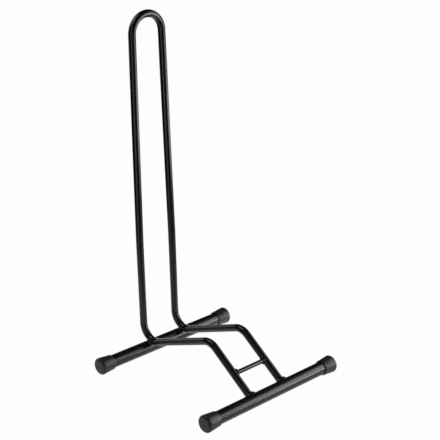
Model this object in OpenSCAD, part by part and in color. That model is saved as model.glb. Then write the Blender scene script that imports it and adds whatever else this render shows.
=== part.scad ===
// Floor stand for one bicycle wheel. A bent-tube hoop plugs into a welded base: two bent
// rails, a tie rod and two foot tubes that stand on rubber ferrules. Millimetres, +Z up,
// the hoop at the rear (+Y), the wheel rolls in from the front (-Y). The origin is on the
// floor, under the middle of the whole stand.

/* [Overall] */
// Height from the floor to the top of the hoop
stand_h = 750; // [690:1:850]
// Width over the rubber ferrules
stand_w = 371; // [320:1:460]
// Distance between the axes of the front and rear foot tubes
foot_pitch = 326.6; // [290:0.1:390]
// Backward lean of the hoop and its legs, degrees
lean = 2; // [0.5:0.1:6]

/* [Hoop and rail tube] */
// Outer diameter of the tube
tube_d = 16; // [14:0.1:18]
// Wall of the tube
tube_wall = 1.2; // [0.8:0.1:2]
// Distance between the axes of the two rails
rail_pitch = 90.7; // [86:0.1:110]
// Distance between the axes of the hoop's legs where the crown begins
crown_pitch = 79; // [66:0.1:85]
// Bevel on the cut ends of the tubes
end_bevel = 0.5; // [0.2:0.1:0.7]

/* [Plug joint] */
// Height of the seam between the hoop and the base
seam_h = 194; // [165:1:260]
// Gap left by the coating where the hoop sits on the base
seam_gap = 0.3; // [0.1:0.05:0.6]
// Length of the spigot inside the hoop
spigot_reach = 45; // [30:1:60]
// Length of the spigot inside the base
spigot_hold = 40; // [30:1:60]
// Wall of the spigot
spigot_wall = 1.2; // [0.8:0.1:2]
// Clearance all round between the spigot and the tubes
spigot_fit = 0.08; // [0.05:0.01:0.1]
// Straight, parallel end of each hoop leg above the seam
plug_len = 60; // [50:1:90]
// Radius of the slight bend that starts the hoop's taper
set_r = 600; // [400:10:900]

/* [Rails] */
// How far forward of its crown the rails sit on the rear foot tube, degrees
seat_turn = 18.3; // [10:0.1:26]
// Radius of the bend over the rear foot tube, at the tube's axis
heel_r = 35.4; // [28:0.1:45]
// Slope of the rails up from the rear foot tube, degrees
rise = 21; // [16:0.1:26]
// Radius of the bend at the rails' highest point, at the tube's axis
ridge_r = 36.2; // [28:0.1:48]
// Slope of the rails down to the front foot tube, degrees
fall = 35.2; // [30:0.1:42]
// How far inside the front foot tube's lower edge the rails' lower edge stays
toe_inset = 0.5; // [0.3:0.1:4]

/* [Tie rod] */
// Diameter of the tie rod
rod_d = 9.8; // [8:0.1:12]
// Distance of the tie rod up the rails from the front foot tube
rod_up = 70; // [50:1:95]

/* [Foot tubes] */
// Outer diameter of the foot tubes
foot_d = 28; // [25:0.1:32]
// Wall of the foot tubes
foot_wall = 1.5; // [1:0.1:2.5]

/* [Rubber ferrules] */
// Largest diameter, near the closed end
cap_d = 37.2; // [36:0.1:44]
// Wall of the ferrule at its mouth, measured on the foot tube
cap_wall = 2; // [1.6:0.1:3]
// Length over all
cap_len = 34; // [28:0.5:45]
// Thickness of the closed end
cap_floor = 4; // [3:0.1:6]
// Rounding of the closed end's edge
cap_round = 4.2; // [2.5:0.1:6]
// Thickness of the lip at the mouth
cap_lip = 0.7; // [0.5:0.1:1.2]
// Depth of the flared mouth
cap_flare = 4; // [2:0.1:8]
// Clearance all round between a ferrule and its tube
cap_fit = 0.05; // [0.02:0.01:0.1]

/* [Welds] */
// Radius of the bead that joins the rails to the front foot tube
toe_bead = 5.2; // [3:0.1:5.5]
// Radius of the beads that join the rails to the rear foot tube
heel_bead = 3; // [2.2:0.1:3.6]
// Length of the beads on the rear foot tube
heel_bead_len = 15; // [10:0.5:20]
// How far the bead at each end of the tie rod stands out round it
rod_bead = 2.4; // [1.6:0.1:3]

/* [Hidden] */
$fn = 96;

STEEL = "#1b1b1d";
BEAD = "#141416";
RUBBER = "#2b2b2d";
PLATED = "#8f9194";
// Spare length of a cut, past the surface that it opens
PAST = 2;
// The wall of a bend is this much thicker than the straight tube's, outside and inside, and
// the straight tube runs this far into it
SWELL = 0.1;
LAP = 0.8;

tube_r = tube_d / 2;
bore_r = tube_r - tube_wall;
bend_tube_r = tube_r + SWELL;
foot_r = foot_d / 2;
cap_r = cap_d / 2;
cap_bore_r = foot_r + cap_fit;
mouth_r = foot_r + cap_wall;
foot_len = stand_w - 2 * cap_floor;
spigot_r = bore_r - spigot_fit;
rail_x = rail_pitch / 2;
rod_r = rod_d / 2;

// Side view: pairs of [towards the rear, up]. The rails' heel bend rests on the rear foot
// tube, and the reach behind that tube sets the middle of the stand.
seat = heel_r + bend_tube_r + foot_r;
heel_up = cap_r + seat * cos(seat_turn);
leg_up = heel_up - heel_r * sin(lean);
back_reach = heel_r * cos(lean) - seat * sin(seat_turn)
    + (stand_h - bend_tube_r - leg_up) * tan(lean) + bend_tube_r;
stand_depth = cap_r + foot_pitch + back_reach;
rear_foot = [stand_depth / 2 - back_reach, cap_r];
front_foot = [rear_foot[0] - foot_pitch, cap_r];

rise_dir = [-cos(rise), sin(rise)];
fall_dir = [-cos(fall), -sin(fall)];
heel = rear_foot + seat * [-sin(seat_turn), cos(seat_turn)];
leg_start = heel + heel_r * [cos(lean), -sin(lean)];
leg_len = (seam_h - leg_start[1]) / cos(lean);
seam = leg_start + leg_len * [sin(lean), cos(lean)];
rise_start = heel - heel_r * [sin(rise), cos(rise)];

// The rails' lower edge just meets the front foot tube, so their axis passes below its axis
toe_drop = foot_r - tube_r - toe_inset;
toe_depth = sqrt(foot_r * foot_r - toe_drop * toe_drop);
toe = front_foot + toe_drop * [sin(fall), -cos(fall)];
ridge = rise_start
    + rise_dir * cross(toe - rise_start, fall_dir) / cross(rise_dir, fall_dir);
ridge_back = ridge_r * tan((rise + fall) / 2);
rise_len = norm(ridge - rise_start) - ridge_back;
ridge_centre = rise_start + rise_len * rise_dir - ridge_r * [sin(rise), cos(rise)];
fall_start = ridge + ridge_back * fall_dir;
fall_len = norm(toe - fall_start);
rod_at = toe - rod_up * fall_dir;

// Front view of the hoop, in its own leaning plane: pairs of [to the right, up from the
// seam]. The taper is the line that touches both the slight bend and the crown.
hoop_len = (stand_h - bend_tube_r - seam[1]) / cos(lean);
crown_r = crown_pitch / 2;
crown_centre = [0, hoop_len - crown_r];
set_centre = [rail_x - set_r, plug_len];
set_to_crown = set_centre - crown_centre;
taper = atan2(set_to_crown[1], set_to_crown[0])
    + acos((crown_r - set_r) / norm(set_to_crown));
taper_start = set_centre + set_r * [cos(taper), sin(taper)];
taper_len = norm(crown_centre + crown_r * [cos(taper), sin(taper)] - taper_start);

// The upright plane of one rail: local X to the rear, Y up, Z to the right
module rail_plane(x) {
    translate([x, 0, 0]) rotate([90, 0, 90]) children();
}

// The leaning plane of the hoop: local X to the right, Y up the legs
module hoop_plane() {
    translate([0, seam[0], seam[1]]) rotate([90 - lean, 0, 0]) children();
}

// A straight round length in the XY plane that narrows to r_end where one is given
module run(start, heading, len, r, r_end) {
    translate(start) rotate([0, 0, heading]) rotate([0, 90, 0])
        cylinder(h = len, r1 = r, r2 = is_undef(r_end) ? r : r_end);
}

// A straight tube in the XY plane that laps into the bends at both of its ends
module pipe(start, heading, len) {
    along = [cos(heading), sin(heading)];
    difference() {
        run(start - LAP * along, heading, len + 2 * LAP, tube_r);
        run(start - PAST * along, heading, len + 2 * PAST, bore_r);
    }
}

// A straight tube from a bevelled free end into a bend at its other end
module end_pipe(start, heading, len) {
    along = [cos(heading), sin(heading)];
    difference() {
        union() {
            run(start, heading, end_bevel, tube_r - end_bevel, tube_r);
            run(start + end_bevel * along, heading, len - end_bevel + LAP, tube_r);
        }
        run(start - PAST * along, heading, len + 2 * PAST, bore_r);
    }
}

// A round bend of the tube in the XY plane
module pipe_bend(centre, bend_r, from, to) {
    translate(centre) rotate([0, 0, from]) rotate_extrude(angle = to - from)
        translate([bend_r, 0]) difference() {
            circle(bend_tube_r);
            circle(bore_r - SWELL);
        }
}

// Round bars in place of a foot tube and of a rail's sloping end, drawn in a rail's plane
module foot_bar(at) {
    translate(at) cylinder(h = stand_w, r = foot_r, center = true);
}

module fall_bar() {
    run(fall_start, 180 + fall, fall_len, tube_r);
}

module rail(x) {
    color(STEEL) {
        hoop_plane() end_pipe([x, 0], -90, leg_len);
        rail_plane(x) {
            pipe_bend(heel, heel_r, -90 - rise, -lean);
            pipe(rise_start, 180 - rise, rise_len);
            pipe_bend(ridge_centre, ridge_r, 90 - rise, 90 + fall);
            difference() {
                pipe(fall_start, 180 + fall, fall_len);
                foot_bar(front_foot);
            }
        }
    }
}

// One leg of the hoop, from the seam up to the crown
module hoop_leg() {
    end_pipe([rail_x, seam_gap], 90, plug_len - seam_gap);
    pipe_bend(set_centre, set_r, 0, taper);
    pipe(taper_start, 90 + taper, taper_len);
}

module upper_hoop() {
    color(STEEL) hoop_plane() {
        pipe_bend(crown_centre, crown_r, taper, 180 - taper);
        hoop_leg();
        mirror([1, 0, 0]) hoop_leg();
    }
}

module spigot(x) {
    body_len = spigot_hold + spigot_reach - 2 * spigot_wall;
    color(PLATED) hoop_plane() difference() {
        union() {
            run([x, -spigot_hold], 90, spigot_wall, spigot_r - spigot_wall / 2, spigot_r);
            run([x, spigot_wall - spigot_hold], 90, body_len, spigot_r);
            run([x, spigot_reach - spigot_wall], 90, spigot_wall, spigot_r, spigot_r - spigot_wall / 2);
        }
        run([x, -spigot_hold - PAST], 90, spigot_hold + spigot_reach + 2 * PAST, spigot_r - spigot_wall);
    }
}

module foot_tube(at) {
    color(STEEL) translate([0, at[0], at[1]]) rotate([0, 90, 0]) difference() {
        cylinder(h = foot_len, r = foot_r, center = true);
        cylinder(h = foot_len + 2 * PAST, r = foot_r - foot_wall, center = true);
    }
}

// Half section of a ferrule, mouth at the bottom: [radius, along]. The flank is the line
// from the mouth that touches the rounded edge.
module cap_section() {
    round_at = [cap_r - cap_round, cap_len - cap_round];
    lip_out = mouth_r - round_at[0];
    flank = asin(cap_round / norm([lip_out, round_at[1]])) - atan2(lip_out, round_at[1]);
    difference() {
        union() {
            polygon([
                [0, 0], [mouth_r - end_bevel, 0], [mouth_r + end_bevel * tan(flank), end_bevel],
                round_at + cap_round * [cos(flank), -sin(flank)], round_at,
                [round_at[0], cap_len], [0, cap_len]
            ]);
            translate(round_at) circle(cap_round);
        }
        polygon([
            [0, -PAST], [mouth_r - cap_lip, -PAST], [mouth_r - cap_lip, 0],
            [cap_bore_r, cap_flare], [cap_bore_r, cap_len - cap_floor], [0, cap_len - cap_floor]
        ]);
    }
}

module cap(at, side) {
    color(RUBBER) translate([side * (stand_w / 2 - cap_len), at[0], at[1]])
        rotate([0, side * 90, 0]) rotate_extrude() cap_section();
}

module tie_rod() {
    color(STEEL) difference() {
        translate([0, rod_at[0], rod_at[1]]) rotate([0, 90, 0])
            cylinder(h = rail_pitch, r = rod_r, center = true);
        for (side = [-1, 1]) rail_plane(side * rail_x) fall_bar();
    }
}

// Two short beads, one in the crevice on each flank of the rail where it crosses the tube
module heel_weld(x) {
    sink = heel_bead / 2;
    out = heel_r + tube_r - sink;
    half = heel_bead_len / 2;
    color(BEAD) rail_plane(x) difference() {
        for (flank = [-1, 1])
            translate(heel + out * [sin(seat_turn), -cos(seat_turn)])
                translate([0, 0, flank * (tube_r - sink)]) rotate([0, 0, seat_turn]) rotate([0, 90, 0])
                    rotate_extrude() polygon([
                        [0, -half], [sink, -half], [heel_bead, sink - half],
                        [heel_bead, half - sink], [sink, half], [0, half]
                    ]);
        translate(heel) rotate([0, 0, -90 - rise]) rotate_extrude(angle = 90 + rise - lean)
            translate([heel_r, 0]) circle(bend_tube_r);
        foot_bar(rear_foot);
    }
}

// A bead over the top and both flanks of the rail where it ends on the tube
module toe_weld(x) {
    ring_r = tube_r + toe_bead / 4;
    reach = 100;
    color(BEAD) rail_plane(x) difference() {
        translate(toe - toe_depth * fall_dir) rotate([0, 0, 180 + fall]) rotate([0, 90, 0]) {
            rotate([0, 0, -90 - reach]) rotate_extrude(angle = 2 * reach)
                translate([ring_r, 0]) circle(toe_bead);
            for (end = [-reach, reach]) rotate([0, 0, end - 90])
                translate([ring_r, 0, 0]) sphere(toe_bead + SWELL);
        }
        fall_bar();
        foot_bar(front_foot);
    }
}

// A ring of weld in the angle between the tie rod and the rail
module rod_weld(side) {
    sink = rod_bead / 2;
    color(BEAD) difference() {
        translate([side * (rail_x - tube_r + sink), rod_at[0], rod_at[1]]) rotate([0, 90, 0])
            rotate_extrude() difference() {
                circle(rod_r + rod_bead);
                translate([-2 * rod_d, -rod_d]) square([2 * rod_d + rod_r, 2 * rod_d]);
            }
        rail_plane(side * rail_x) fall_bar();
    }
}

module left_rail() { rail(-rail_x); }
module right_rail() { rail(rail_x); }
module left_spigot() { spigot(-rail_x); }
module right_spigot() { spigot(rail_x); }
module rear_foot_tube() { foot_tube(rear_foot); }
module front_foot_tube() { foot_tube(front_foot); }
module rear_left_cap() { cap(rear_foot, -1); }
module rear_right_cap() { cap(rear_foot, 1); }
module front_left_cap() { cap(front_foot, -1); }
module front_right_cap() { cap(front_foot, 1); }
module rear_left_weld() { heel_weld(-rail_x); }
module rear_right_weld() { heel_weld(rail_x); }
module front_left_weld() { toe_weld(-rail_x); }
module front_right_weld() { toe_weld(rail_x); }
module tie_rod_left_weld() { rod_weld(-1); }
module tie_rod_right_weld() { rod_weld(1); }

upper_hoop();
left_rail();
right_rail();
left_spigot();
right_spigot();
rear_foot_tube();
front_foot_tube();
tie_rod();
rear_left_cap();
rear_right_cap();
front_left_cap();
front_right_cap();
rear_left_weld();
rear_right_weld();
front_left_weld();
front_right_weld();
tie_rod_left_weld();
tie_rod_right_weld();
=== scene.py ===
from math import acos, atan2, cos, hypot, pi, radians, sin, sqrt, tan
from random import Random

import bmesh
import bpy
from mathutils import Matrix, Vector


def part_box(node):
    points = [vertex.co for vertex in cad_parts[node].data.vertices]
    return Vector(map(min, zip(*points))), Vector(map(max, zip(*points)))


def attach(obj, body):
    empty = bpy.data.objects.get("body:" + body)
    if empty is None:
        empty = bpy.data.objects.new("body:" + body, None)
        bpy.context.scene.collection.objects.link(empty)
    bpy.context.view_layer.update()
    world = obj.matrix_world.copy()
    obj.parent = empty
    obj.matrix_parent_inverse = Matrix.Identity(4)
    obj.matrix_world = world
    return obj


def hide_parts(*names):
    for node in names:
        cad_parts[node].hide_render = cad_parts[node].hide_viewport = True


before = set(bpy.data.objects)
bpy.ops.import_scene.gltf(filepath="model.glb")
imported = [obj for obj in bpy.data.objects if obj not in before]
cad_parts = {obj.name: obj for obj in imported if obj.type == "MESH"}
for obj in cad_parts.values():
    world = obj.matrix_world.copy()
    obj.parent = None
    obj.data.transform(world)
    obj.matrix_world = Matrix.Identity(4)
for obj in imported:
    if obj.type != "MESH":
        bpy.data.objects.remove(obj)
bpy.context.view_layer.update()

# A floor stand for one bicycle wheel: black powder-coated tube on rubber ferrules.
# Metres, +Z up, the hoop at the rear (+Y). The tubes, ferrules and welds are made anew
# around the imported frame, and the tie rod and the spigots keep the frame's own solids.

# Camera, fitted to the outline of the stand
AZIMUTH = radians(-43.5)
ELEVATION = radians(21.55)
DISTANCE = 2.5919
LENS = 104.0
AIM = Vector((0.01314, -0.01509, 0.34677))

# Tube of the hoop and the rails, whose legs lean back
TUBE_R = 0.008
TUBE_WALL = 0.0012
END_BEVEL = 0.0005
LEAN = radians(2)

# Plug joint: each leg of the hoop is swaged to a neck at the seam, and straight over its plug
SEAM_UP = 0.194
SEAM_GAP = 0.0003
NECK_R = 0.00775
NECK_LEN = 0.005
REAM_DEPTH = 0.01
PLUG_LEN = 0.06

# Hoop above the plugs: the legs are set inwards, and taper to the crown
SET_R = 0.6
CROWN_R = 0.0395
HOOP_TOP = 0.75

# Rails, in the side view: from a heel on the rear foot tube, a rise, a ridge and a fall
SEAT_TURN = radians(18.3)
SEAT_PLAY = 0.0001
HEEL_R = 0.0354
RISE = radians(21)
RIDGE_R = 0.0362
FALL = radians(35.2)
TOE_INSET = 0.0005

# Tie rod, and how far up the fall it is
ROD_R = 0.0049
ROD_UP = 0.07

# Foot tubes and ferrules. Inside a ferrule's thin lip, its mouth slopes in to the bore.
FOOT_WALL = 0.0015
CAP_LEN = 0.034
CAP_WALL = 0.002
CAP_FLOOR = 0.004
CAP_FIT = 0.00005
CAP_ROUND = 0.006
SHOULDER_INSET = 0.00005
LIP_WALL = 0.0005
LIP_DEEP = 0.0024
SLOPE_DEEP = 0.004
LIP_INNER_ROUND = 0.0001
LIP_OUTER_ROUND = 0.00035
DIMPLE_R = 0.003
DIMPLE_FLOOR_R = 0.002
DIMPLE_DEEP = 0.0007
DIMPLE_ROUND = 0.0004

# Weld beads: ripples in a row that runs out at both ends, or in a ring. In a round bead, the
# thickness of a ripple is a share of its radius.
RIPPLE_PITCH = 0.0013
RIPPLE_THICK = 0.72
RIPPLE_SPREAD = 0.025
BEAD_END = 0.7
RUN_OUT = 3
WELD_VOXEL = 0.0004

# Toe welds: fillets. The thickness of a ripple goes by the pitch, and its width by the face.
TOE_REACH = radians(104)
TOE_LEG = 0.0062
TOE_SINK = 0.0022
TOE_CROWN = 0.0005
TOE_THICK = 1.9
TOE_WIDE = 1.22

# Heel welds, up from the rail's underside and in from its flank by shares of their radius
HEEL_BEAD_R = 0.0024
HEEL_BEAD_LEN = 0.011
HEEL_BEAD_FORE = radians(5)
HEEL_BEAD_UP = 0.5
HEEL_BEAD_IN = 0.4

# Rod welds, proud of the rail's flank and out from the rod by shares of their radius
ROD_BEAD_PROUD = 0.25
ROD_BEAD_OUT = 0.1

# Floor, room and lamps
FLOOR_HALF = 12.0
FLOOR_WHITE = 0.98
# Brightness of the painted glows on the floor, which only reflections see
PAINTED_GLOW_LEVEL = 2
DIM_ROOM = 0.02
LAMP_AIM = Vector((0, 0, 0.3))
LAMP_AWAY = 2.4

# Fineness of the meshes
TUBE_SIDES = 48
FOOT_SIDES = 72
BEND_STEP = radians(4)
SHARP_EDGE = radians(38)
SAME_PLACE = 1e-7

ACROSS = Vector((1, 0, 0))


# Where things sit, from the frame

def middle(node):
    """The middle of a node's box."""
    low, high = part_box(node)
    return (low + high) / 2


def half_size(node):
    """Half of the sizes of a node's box."""
    low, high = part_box(node)
    return (high - low) / 2


foot_r = half_size("front_foot_tube").z
foot_half = half_size("front_foot_tube").x
cap_r = half_size("front_left_cap").z
rail_x = middle("right_rail").x
rear_foot = middle("rear_foot_tube")
front_foot = middle("front_foot_tube")


def side_view(along, up):
    """A direction in the side view: towards the rear, up."""
    return Vector((0, along, up))


rise_way = side_view(-cos(RISE), sin(RISE))
fall_way = side_view(-cos(FALL), -sin(FALL))
over_rail = side_view(-sin(FALL), cos(FALL))
seat = HEEL_R + TUBE_R + SEAT_PLAY + foot_r
heel = rear_foot + seat * side_view(-sin(SEAT_TURN), cos(SEAT_TURN))
leg_foot = heel + HEEL_R * side_view(cos(LEAN), -sin(LEAN))
leg_way = side_view(sin(LEAN), cos(LEAN))
leg_len = (SEAM_UP - leg_foot.z) / cos(LEAN)
seam = leg_foot + leg_len * leg_way
rise_start = heel - HEEL_R * side_view(sin(RISE), cos(RISE))
toe_drop = foot_r - TUBE_R - TOE_INSET
toe = front_foot + toe_drop * side_view(sin(FALL), -cos(FALL))


def meet(start, way, other, other_way):
    """How far along its way the first line meets the second, in the side view."""
    gap = other - start
    slant = way.y * other_way.z - way.z * other_way.y
    return (gap.y * other_way.z - gap.z * other_way.y) / slant


ridge_back = RIDGE_R * tan((RISE + FALL) / 2)
rise_len = meet(rise_start, rise_way, toe, fall_way) - ridge_back
ridge = rise_start + (rise_len + ridge_back) * rise_way
ridge_centre = rise_start + rise_len * rise_way - RIDGE_R * side_view(sin(RISE), cos(RISE))
fall_start = ridge + ridge_back * fall_way
fall_len = (toe - fall_start).length
rod_at = toe - ROD_UP * fall_way


# Materials

class Output:
    """What a node gives out. Sums, differences and products with it add Math nodes."""

    def __init__(self, nodes, socket):
        self.nodes = nodes
        self.socket = socket

    def maths(self, operation, first, second):
        return self.nodes.node("ShaderNodeMath", {"operation": operation}, {0: first, 1: second})

    def __add__(self, other):
        return self.maths("ADD", self, other)

    def __sub__(self, other):
        return self.maths("SUBTRACT", self, other)

    def __rsub__(self, other):
        return self.maths("SUBTRACT", other, self)

    def __mul__(self, other):
        return self.maths("MULTIPLY", self, other)

    __radd__ = __add__
    __rmul__ = __mul__


class Nodes:
    """The nodes of a material or of the room, and the one way in which they are made."""

    def __init__(self, tree):
        self.tree = tree

    def node(self, kind, settings=None, inputs=None, output=0):
        """Adds a node: its settings first, then the values or links of its sockets."""
        made = self.tree.nodes.new(kind)
        for setting, value in (settings or {}).items():
            setattr(made, setting, value)
        for socket, value in (inputs or {}).items():
            self.join(made.inputs[socket], value)
        return Output(self, made.outputs[output])

    def join(self, socket, value):
        """Links an output to the socket, or writes a plain value into it."""
        if isinstance(value, Output):
            self.tree.links.new(value.socket, socket)
        else:
            socket.default_value = value


class Finish(Nodes):
    """One material."""

    def __init__(self, name, **shader_values):
        self.material = bpy.data.materials.new(name)
        self.material.use_nodes = True
        super().__init__(self.material.node_tree)
        self.shader = self.tree.nodes["Principled BSDF"]
        self.drives(**shader_values)
        self.place = self.node("ShaderNodeTexCoord", output="Object")

    def drives(self, **sockets):
        """Sets or links the shader's own sockets."""
        for socket, value in sockets.items():
            self.join(self.shader.inputs[socket.replace("_", " ")], value)

    def noise(self, per_metre, detail, stretch=(1, 1, 1)):
        """Soft noise, finer with more to the metre and with more detail."""
        place = self.node("ShaderNodeMapping", inputs={"Vector": self.place, "Scale": stretch})
        return self.node(
            "ShaderNodeTexNoise", inputs={"Vector": place, "Scale": per_metre, "Detail": detail}
        )

    def up(self):
        """Height above the floor."""
        return self.node("ShaderNodeSeparateXYZ", inputs={0: self.place}, output="Z")

    def window(self, value, low, high):
        """0 below low, 1 above high and straight between."""
        return self.node(
            "ShaderNodeMapRange", {"clamp": True},
            {"Value": value, "From Min": low, "From Max": high}
        )

    def tint(self, share, first, second):
        """Mixes two colours."""
        return self.node(
            "ShaderNodeMix", {"data_type": "RGBA"},
            {0: share, 6: (*first, 1), 7: (*second, 1)}, output=2
        )

    def relief(self, height, depth):
        """Roughens the shading, as if the surface rose by the depth where the height is 1."""
        bump = self.node(
            "ShaderNodeBump", inputs={"Height": height, "Distance": depth, "Strength": 0.5}
        )
        self.drives(Normal=bump)

    def glow(self, level):
        """A shader that only gives off light."""
        return self.node("ShaderNodeEmission", inputs={"Strength": level})

    def mix(self, share, first, second):
        """Mixes two shaders. None is black."""
        sockets = {0: share, 1: first, 2: second}
        lit = {socket: value for socket, value in sockets.items() if value is not None}
        return self.node("ShaderNodeMixShader", inputs=lit)


def powder_coat():
    """Satin black powder coat: near black, with the faint orange peel of a baked coat."""
    finish = Finish("satin_black_powder_coat")
    peel = finish.noise(per_metre=520, detail=1.5)
    grain = finish.noise(per_metre=2600, detail=1.0)
    cloud = finish.noise(per_metre=22, detail=3.0)
    deep_black = (0.0045, 0.0045, 0.0047)
    soft_black = (0.008, 0.008, 0.0082)
    finish.drives(
        Base_Color=finish.tint(cloud, deep_black, soft_black),
        Roughness=0.22 + 0.04 * cloud + 0.02 * grain,
    )
    finish.relief(peel + 0.25 * grain, depth=0.00003)
    return finish.material


def moulded_rubber():
    """Satin black rubber with a fine grain, greyed where it scrubs on the floor."""
    finish = Finish("moulded_black_rubber")
    grain = finish.noise(per_metre=1900, detail=2.0)
    cloud = finish.noise(per_metre=60, detail=4.0)
    near_floor = 1 - finish.window(finish.up(), low=0.0004, high=0.0022)
    scrub = near_floor * finish.window(cloud, low=0.35, high=0.6)
    bloom = finish.window(cloud, low=0.3, high=0.75)
    rubber_black = (0.013, 0.013, 0.0132)
    scrubbed_grey = (0.05, 0.049, 0.048)
    finish.drives(
        Base_Color=finish.tint(0.55 * scrub + 0.3 * bloom, rubber_black, scrubbed_grey),
        Roughness=0.38 + 0.08 * cloud + 0.25 * scrub,
    )
    finish.relief(grain, depth=0.00002)
    return finish.material


def drawn_steel():
    """Plain drawn tube with lines along its length."""
    finish = Finish("plain_drawn_steel", Metallic=1.0)
    lines = finish.noise(per_metre=1500, detail=3.0, stretch=(1, 1, 0.02))
    cloud = finish.noise(per_metre=45, detail=3.0)
    dull_steel = (0.36, 0.36, 0.37)
    bright_steel = (0.5, 0.5, 0.51)
    finish.drives(
        Base_Color=finish.tint(cloud, dull_steel, bright_steel),
        Roughness=0.28 + 0.14 * lines + 0.08 * cloud,
    )
    finish.relief(lines, depth=0.00002)
    return finish.material


coat = powder_coat()
rubber = moulded_rubber()
steel = drawn_steel()


# Making pieces

def finish_piece(bm, name, material, body):
    """Makes the piece from its bmesh, in place of the node of the same name."""
    bmesh.ops.remove_doubles(bm, verts=bm.verts, dist=SAME_PLACE)
    bmesh.ops.recalc_face_normals(bm, faces=bm.faces)
    mesh = bpy.data.meshes.new(name)
    bm.to_mesh(mesh)
    bm.free()
    mesh.shade_smooth()
    mesh.set_sharp_from_angle(angle=SHARP_EDGE)
    mesh.materials.append(material)
    piece = bpy.data.objects.new(name, mesh)
    bpy.context.scene.collection.objects.link(piece)
    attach(piece, body)
    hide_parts(name)
    return piece


class Bender:
    """A round tube that grows from its first cut end, as it passes through a bender."""

    def __init__(self, at, way, radius, sides=TUBE_SIDES):
        self.bm = bmesh.new()
        self.at = at.copy()
        self.way = way.normalized()
        self.radius = radius
        turn = self.way.to_track_quat("Z", "Y").to_matrix().to_4x4()
        bmesh.ops.create_circle(
            self.bm, segments=sides, radius=radius, matrix=Matrix.Translation(at) @ turn
        )
        self.rim = list(self.bm.verts)

    def edges(self):
        """The edges of the rim that grows."""
        rim = set(self.rim)
        return list({e for v in rim for e in v.link_edges if e.other_vert(v) in rim})

    def straight(self, length, radius=None):
        """Feeds the tube on, to another radius at its new rim if one is given."""
        grown = bmesh.ops.extrude_edge_only(self.bm, edges=self.edges())["geom"]
        self.rim = [v for v in grown if isinstance(v, bmesh.types.BMVert)]
        bmesh.ops.translate(self.bm, verts=self.rim, vec=length * self.way)
        self.at += length * self.way
        if radius is not None:
            bmesh.ops.scale(
                self.bm, verts=self.rim, vec=[radius / self.radius] * 3,
                space=Matrix.Translation(-self.at)
            )
            self.radius = radius

    def bend(self, centre, axis, angle):
        """Bends the tube round the centre."""
        steps = max(2, round(abs(angle) / BEND_STEP))
        spun = bmesh.ops.spin(
            self.bm, geom=self.rim + self.edges(), cent=centre, axis=axis, angle=angle,
            steps=steps, use_merge=False, use_duplicate=False
        )["geom_last"]
        self.rim = [v for v in spun if isinstance(v, bmesh.types.BMVert)]
        turn = Matrix.Rotation(angle, 3, axis)
        self.at = centre + turn @ (self.at - centre)
        self.way = turn @ self.way

    def wall(self, thickness):
        """Gives the tube its wall, inwards."""
        bmesh.ops.recalc_face_normals(self.bm, faces=self.bm.faces)
        bmesh.ops.solidify(self.bm, geom=list(self.bm.faces), thickness=thickness)
        return self.bm


def ream(bm, mouth, way):
    """Opens a tube's mouth to its full bore, which the neck and the bevelled edge drew in."""
    bore = TUBE_R - TUBE_WALL
    for vert in bm.verts:
        along = (vert.co - mouth).dot(way)
        off_axis = vert.co - mouth - along * way
        if 0 < along < REAM_DEPTH and off_axis.length < bore:
            vert.co += (bore - off_axis.length) * off_axis.normalized()


def build_rail(side, name):
    """One rail, from the seam down the leg, over the rear foot tube and down to the front."""
    x = side * rail_x * ACROSS
    tube = Bender(seam + x, -leg_way, TUBE_R - END_BEVEL)
    tube.straight(END_BEVEL, TUBE_R)
    tube.straight(leg_len - END_BEVEL)
    tube.bend(heel + x, ACROSS, -(pi / 2 + RISE - LEAN))
    tube.straight(rise_len)
    tube.bend(ridge_centre + x, ACROSS, RISE + FALL)
    tube.straight(fall_len)
    bm = tube.wall(TUBE_WALL)
    ream(bm, seam + x, -leg_way)
    finish_piece(bm, name, coat, "base")


def build_hoop():
    """The hoop, up one leg, round the crown and down the other."""
    normal = Vector((0, -cos(LEAN), sin(LEAN)))
    crown_up = (HOOP_TOP - TUBE_R - seam.z) / cos(LEAN) - CROWN_R
    crown = seam + crown_up * leg_way
    set_out = rail_x - SET_R
    set_to_crown = (set_out, PLUG_LEN - crown_up)
    taper = atan2(set_to_crown[1], set_to_crown[0])
    taper += acos((CROWN_R - SET_R) / hypot(*set_to_crown))
    taper_start = (set_out + SET_R * cos(taper), PLUG_LEN + SET_R * sin(taper))
    taper_end = (CROWN_R * cos(taper), crown_up + CROWN_R * sin(taper))
    taper_len = hypot(taper_end[0] - taper_start[0], taper_end[1] - taper_start[1])
    right_set = seam + PLUG_LEN * leg_way + set_out * ACROSS
    left_set = seam + PLUG_LEN * leg_way - set_out * ACROSS
    neck_up = SEAM_GAP + END_BEVEL + NECK_LEN

    tube = Bender(seam + SEAM_GAP * leg_way + rail_x * ACROSS, leg_way, NECK_R - END_BEVEL)
    tube.straight(END_BEVEL, NECK_R)
    tube.straight(NECK_LEN, TUBE_R)
    tube.straight(PLUG_LEN - neck_up)
    tube.bend(right_set, normal, taper)
    tube.straight(taper_len)
    tube.bend(crown, normal, pi - 2 * taper)
    tube.straight(taper_len)
    tube.bend(left_set, normal, taper)
    tube.straight(PLUG_LEN - neck_up)
    tube.straight(NECK_LEN, NECK_R)
    tube.straight(END_BEVEL, NECK_R - END_BEVEL)
    bm = tube.wall(TUBE_WALL)
    for side in (-1, 1):
        ream(bm, seam + side * rail_x * ACROSS, leg_way)
    finish_piece(bm, "upper_hoop", coat, "hoop")


def build_foot_tube(at, name):
    """A foot tube, from its left end to its right."""
    tube = Bender(at - foot_half * ACROSS, ACROSS, foot_r - END_BEVEL, FOOT_SIDES)
    tube.straight(END_BEVEL, foot_r)
    tube.straight(2 * (foot_half - END_BEVEL))
    tube.straight(END_BEVEL, foot_r - END_BEVEL)
    finish_piece(tube.wall(FOOT_WALL), name, coat, "base")


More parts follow.
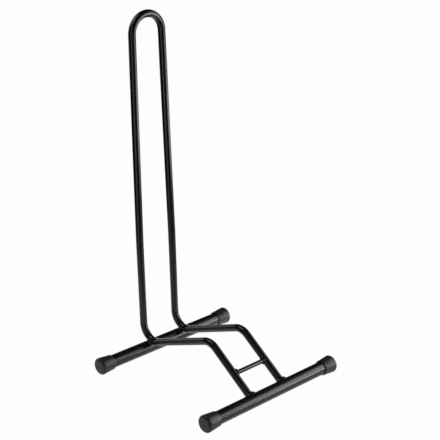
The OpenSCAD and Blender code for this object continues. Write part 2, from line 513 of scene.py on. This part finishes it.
def build_cap(at, side, name):
    """A rubber ferrule, turned from its outline."""
    bore = foot_r + CAP_FIT
    mouth = foot_r + CAP_WALL
    lip = mouth - LIP_WALL
    flare = (cap_r - mouth) * CAP_LEN / (CAP_LEN - CAP_ROUND)
    shoulder = mouth + flare - SHOULDER_INSET
    inside = CAP_LEN - CAP_FLOOR
    dimple = CAP_LEN - DIMPLE_DEEP
    # Corners: radius, distance from the mouth, rounding
    outline = (
        (0, inside, 0), (bore, inside, 0), (bore, SLOPE_DEEP, 0), (lip, LIP_DEEP, 0),
        (lip, 0, LIP_INNER_ROUND), (mouth, 0, LIP_OUTER_ROUND), (shoulder, CAP_LEN, CAP_ROUND),
        (DIMPLE_R, CAP_LEN, DIMPLE_ROUND), (DIMPLE_FLOOR_R, dimple, 0), (0, dimple, 0),
    )
    bm = bmesh.new()
    corners = [bm.verts.new((r, 0, along)) for r, along, _ in outline]
    for first, second in zip(corners, corners[1:]):
        bm.edges.new((first, second))
    for corner, (_, _, rounding) in zip(corners, outline):
        if rounding:
            bmesh.ops.bevel(
                bm, geom=[corner], offset=rounding, offset_type="OFFSET", segments=6,
                profile=0.5, affect="VERTICES", material=-1
            )
    bmesh.ops.spin(
        bm, geom=list(bm.verts) + list(bm.edges), cent=(0, 0, 0), axis=(0, 0, 1),
        angle=2 * pi, steps=FOOT_SIDES, use_merge=True, use_duplicate=False
    )
    turn = (side * ACROSS).to_track_quat("Z", "Y").to_matrix().to_4x4()
    mouth_at = at + side * (foot_half + CAP_FLOOR - CAP_LEN) * ACROSS
    bmesh.ops.transform(bm, matrix=Matrix.Translation(mouth_at) @ turn, verts=bm.verts)
    finish_piece(bm, name, rubber, "base")


def ripple(here, along, out, thick, wide, high):
    """The matrix that makes a unit ball into one ripple of a bead that runs along.

    Thick, wide and high are half sizes: along the bead, across it and outwards.
    """
    across = along.cross(out).normalized()
    along = along.normalized()
    turn = Matrix((across, across.cross(-along), along)).transposed().to_4x4()
    return Matrix.Translation(here) @ turn @ Matrix.Diagonal((wide, high, thick, 1))


def fullness(i, count):
    """How full a ripple is: the ends of a bead run out."""
    return min(1, BEAD_END + (1 - BEAD_END) * min(i, count - i) / RUN_OUT)


def build_bead(name, ripples, seed):
    """A weld bead: overlapping ripples of metal, made one skin."""
    chance = Random(seed)
    bm = bmesh.new()
    for place in ripples:
        size = Matrix.Scale(chance.uniform(1 - RIPPLE_SPREAD, 1 + RIPPLE_SPREAD), 4)
        bmesh.ops.create_uvsphere(bm, u_segments=24, v_segments=14, radius=1, matrix=place @ size)
    piece = finish_piece(bm, name, coat, "base")
    skin = piece.modifiers.new("one_skin", "REMESH")
    skin.mode = "VOXEL"
    skin.voxel_size = WELD_VOXEL
    skin.use_smooth_shade = True
    soft = piece.modifiers.new("soft_edges", "SMOOTH")
    soft.factor = 0.5
    soft.iterations = 4
    depsgraph = bpy.context.evaluated_depsgraph_get()
    settled = bpy.data.meshes.new_from_object(piece.evaluated_get(depsgraph))
    piece.modifiers.clear()
    piece.data = settled


def build_toe_weld(side, name, seed):
    """The fillet over the top and flanks of a rail where it ends on the front foot tube."""
    at = front_foot + side * rail_x * ACROSS
    count = round(2 * TOE_REACH * TUBE_R / RIPPLE_PITCH)
    ripples = []
    for i in range(count + 1):
        turn = TOE_REACH * (2 * i / count - 1)
        height = TUBE_R * cos(turn) - toe_drop
        back = sqrt(foot_r ** 2 - height ** 2)
        off_rail = cos(turn) * over_rail + sin(turn) * ACROSS
        on_foot = TUBE_R * off_rail - toe_drop * over_rail - back * fall_way
        off_foot = side_view(on_foot.y, on_foot.z).normalized()
        both = off_rail.dot(off_foot)
        up_rail = TOE_LEG * (off_foot - both * off_rail).normalized()
        along_foot = TOE_LEG * (off_rail - both * off_foot).normalized()
        out = (up_rail + along_foot).normalized()
        face = (up_rail - along_foot).length / 2
        here = at + on_foot + (up_rail + along_foot) / 2 - TOE_SINK * out
        full = fullness(i, count)
        ripples.append(ripple(
            here, off_rail.cross(off_foot), out, thick=TOE_THICK * RIPPLE_PITCH * full,
            wide=TOE_WIDE * face * full, high=(TOE_SINK + TOE_CROWN) * full
        ))
    build_bead(name, ripples, seed)


def build_heel_weld(side, name, seed):
    """Two short beads, one in the crevice on each flank of a rail over the rear foot tube."""
    out = HEEL_R + TUBE_R - HEEL_BEAD_UP * HEEL_BEAD_R
    count = round(HEEL_BEAD_LEN / RIPPLE_PITCH)
    ripples = []
    for flank in (-1, 1):
        across = side * rail_x + flank * (TUBE_R - HEEL_BEAD_IN * HEEL_BEAD_R)
        for i in range(count + 1):
            turn = SEAT_TURN - HEEL_BEAD_FORE + HEEL_BEAD_LEN / out * (i / count - 0.5)
            here = heel + out * side_view(sin(turn), -cos(turn)) + across * ACROSS
            along = side_view(cos(turn), sin(turn))
            r = HEEL_BEAD_R * fullness(i, count)
            ripples.append(ripple(here, along, ACROSS, RIPPLE_THICK * r, r, r))
    build_bead(name, ripples, seed)


def build_rod_weld(side, name, seed, uphill, downhill):
    """The ring of weld round the end of the tie rod, where it meets the rail's round flank.

    The hand-laid ring isn't even: its radius goes from uphill to downhill round the rod.
    """
    count = round(2 * pi * ROD_R / RIPPLE_PITCH)
    ripples = []
    for i in range(count):
        turn = 2 * pi * i / count
        r = (uphill + downhill - (uphill - downhill) * cos(turn)) / 2
        flank = sqrt(TUBE_R ** 2 - (ROD_R * sin(turn)) ** 2) + ROD_BEAD_PROUD * r
        off_rod = cos(turn) * fall_way + sin(turn) * over_rail
        ring_at = rod_at + side * (rail_x - flank) * ACROSS
        here = ring_at + (ROD_R + ROD_BEAD_OUT * r) * off_rod
        ripples.append(ripple(here, ACROSS.cross(off_rod), off_rod, RIPPLE_THICK * r, r, r))
    build_bead(name, ripples, seed)


build_rail(-1, "left_rail")
build_rail(1, "right_rail")
build_hoop()
for at, end in ((rear_foot, "rear"), (front_foot, "front")):
    build_foot_tube(at, end + "_foot_tube")
    build_cap(at, -1, end + "_left_cap")
    build_cap(at, 1, end + "_right_cap")
for side, hand in ((-1, "left"), (1, "right")):
    build_toe_weld(side, "front_" + hand + "_weld", seed=20 + side)
    build_heel_weld(side, "rear_" + hand + "_weld", seed=30 + side)
build_rod_weld(-1, "tie_rod_left_weld", seed=39, uphill=0.0034, downhill=0.0024)
build_rod_weld(1, "tie_rod_right_weld", seed=41, uphill=0.0025, downhill=0.0027)

for node, material in (("tie_rod", coat), ("left_spigot", steel), ("right_spigot", steel)):
    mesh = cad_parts[node].data
    mesh.materials.clear()
    mesh.materials.append(material)


# Floor, light and camera

camera_right = Vector((cos(AZIMUTH), sin(AZIMUTH), 0))
camera_away = Vector((-sin(AZIMUTH), cos(AZIMUTH), 0))


def painted_glow_oval(finish, share, across, back, wide, deep):
    """The brightness of an oval of painted glow on the floor, which only reflections see, and
    which fades out to its edge.

    Its middle has the full share, and lies across to the camera's right from the origin and
    back from it. Wide and deep are half of its size.
    """
    place = finish.node("ShaderNodeMapping", {"vector_type": "TEXTURE"}, {
        "Vector": finish.place, "Location": across * camera_right + back * camera_away,
        "Rotation": (0, 0, AZIMUTH), "Scale": (wide, deep, 1),
    })
    away = finish.node(
        "ShaderNodeVectorMath", {"operation": "LENGTH"}, {0: place}, output="Value"
    )
    return share * (1 - finish.window(away, low=0.5, high=1))


def build_floor():
    """A pale floor that the camera sees as white, with the stand's soft shadow on it.

    The coat reflects only the painted glows on it, which nothing but reflections see, and black
    between them.
    """
    bm = bmesh.new()
    bmesh.ops.create_grid(bm, x_segments=1, y_segments=1, size=FLOOR_HALF)
    mesh = bpy.data.meshes.new("pale_floor")
    bm.to_mesh(mesh)
    bm.free()
    finish = Finish("pale_floor", Base_Color=(0.8, 0.8, 0.8, 1), Roughness=0.9)
    camera = finish.node("ShaderNodeLightPath", output="Is Camera Ray")
    glossy = finish.node("ShaderNodeLightPath", output="Is Glossy Ray")
    # Painted glows on the floor, which only reflections see: they stand in for light falling on
    # it
    round_stand = painted_glow_oval(finish, share=0.37, across=-0.1, back=0.0, wide=1.0, deep=0.5)
    before_left = painted_glow_oval(finish, share=0.3, across=-0.6, back=-0.55, wide=0.3, deep=0.35)
    close_behind = painted_glow_oval(finish, share=0.35, across=0.12, back=0.28, wide=0.2, deep=0.2)
    behind = painted_glow_oval(finish, share=0.98, across=-0.2, back=0.6, wide=0.3, deep=0.45)
    far_before = painted_glow_oval(finish, share=0.85, across=-0.7, back=-1.7, wide=0.7, deep=1.1)
    painted_floor_glow = round_stand + before_left + close_behind + behind + far_before
    lit_floor = Output(finish, finish.shader.outputs[0])
    seen = finish.mix(FLOOR_WHITE * camera, lit_floor, finish.glow(1))
    # What reflections of the floor see: only the painted glows, and black between them
    painted_reflection = finish.mix(painted_floor_glow, None, finish.glow(PAINTED_GLOW_LEVEL))
    blend = finish.mix(glossy, seen, painted_reflection)
    finish.join(finish.tree.nodes["Material Output"].inputs["Surface"], blend)
    mesh.materials.append(finish.material)
    floor = bpy.data.objects.new("pale_floor", mesh)
    bpy.context.scene.collection.objects.link(floor)


def outwards(turn, rise):
    """The way out from the stand to a lamp or the camera. A turn of 0 is the front."""
    return Vector((sin(turn) * cos(rise), -cos(turn) * cos(rise), sin(rise)))


def soft_box(name, turn, rise, width, height, level, away=LAMP_AWAY):
    """A rectangular studio lamp that faces the stand, turned from the camera to the right.

    The level is the brightness of its face.
    """
    lamp = bpy.data.lights.new(name, "AREA")
    lamp.shape = "RECTANGLE"
    lamp.size = width
    lamp.size_y = height
    lamp.energy = level * pi * width * height
    out = outwards(AZIMUTH + radians(turn), radians(rise))
    holder = bpy.data.objects.new(name, lamp)
    holder.visible_camera = False
    holder.matrix_world = (
        Matrix.Translation(LAMP_AIM + away * out)
        @ out.to_track_quat("Z", "Y").to_matrix().to_4x4()
    )
    bpy.context.scene.collection.objects.link(holder)


def build_lamps():
    """The lamps: four at the right, one at the rear left, one over the crown, two in front."""
    soft_box("low_side_box", turn=100, rise=-6.5, width=1.4, height=0.3, level=5, away=1.3)
    soft_box("near_side_box", turn=92, rise=21, width=0.9, height=0.45, level=4.3, away=1.4)
    soft_box("side_box", turn=90, rise=5, width=0.9, height=0.9, level=3.4)
    soft_box("far_side_box", turn=120, rise=30, width=0.9, height=0.9, level=2.2)
    soft_box("rear_left_box", turn=225, rise=5, width=1.9, height=0.9, level=1.3)
    soft_box("crown_box", turn=258, rise=58, width=0.7, height=0.6, level=2.3, away=1.15)
    soft_box("front_left_box", turn=330, rise=17, width=0.9, height=1.9, level=1)
    soft_box("front_box", turn=0, rise=5, width=0.9, height=0.9, level=0.5)


def build_room():
    """A dim room, which the camera sees as white."""
    world = bpy.data.worlds.new("studio")
    bpy.context.scene.world = world
    world.use_nodes = True
    room = Nodes(world.node_tree)
    walls = room.tree.nodes["Background"]
    camera = room.node("ShaderNodeLightPath", output="Is Camera Ray")
    room.join(walls.inputs["Color"], (1, 1, 1, 1))
    room.join(walls.inputs["Strength"], DIM_ROOM + (1 - DIM_ROOM) * camera)


def build_camera():
    """The camera, at the photograph's angle."""
    camera = bpy.data.cameras.new("camera")
    camera.sensor_width = 36
    camera.lens = LENS
    out = outwards(AZIMUTH, ELEVATION)
    holder = bpy.data.objects.new("camera", camera)
    holder.matrix_world = (
        Matrix.Translation(AIM + DISTANCE * out)
        @ Matrix((camera_right, out.cross(camera_right), out)).transposed().to_4x4()
    )
    bpy.context.scene.collection.objects.link(holder)
    bpy.context.scene.camera = holder


build_floor()
build_lamps()
build_room()
build_camera()
bpy.context.scene.view_settings.view_transform = "Standard"
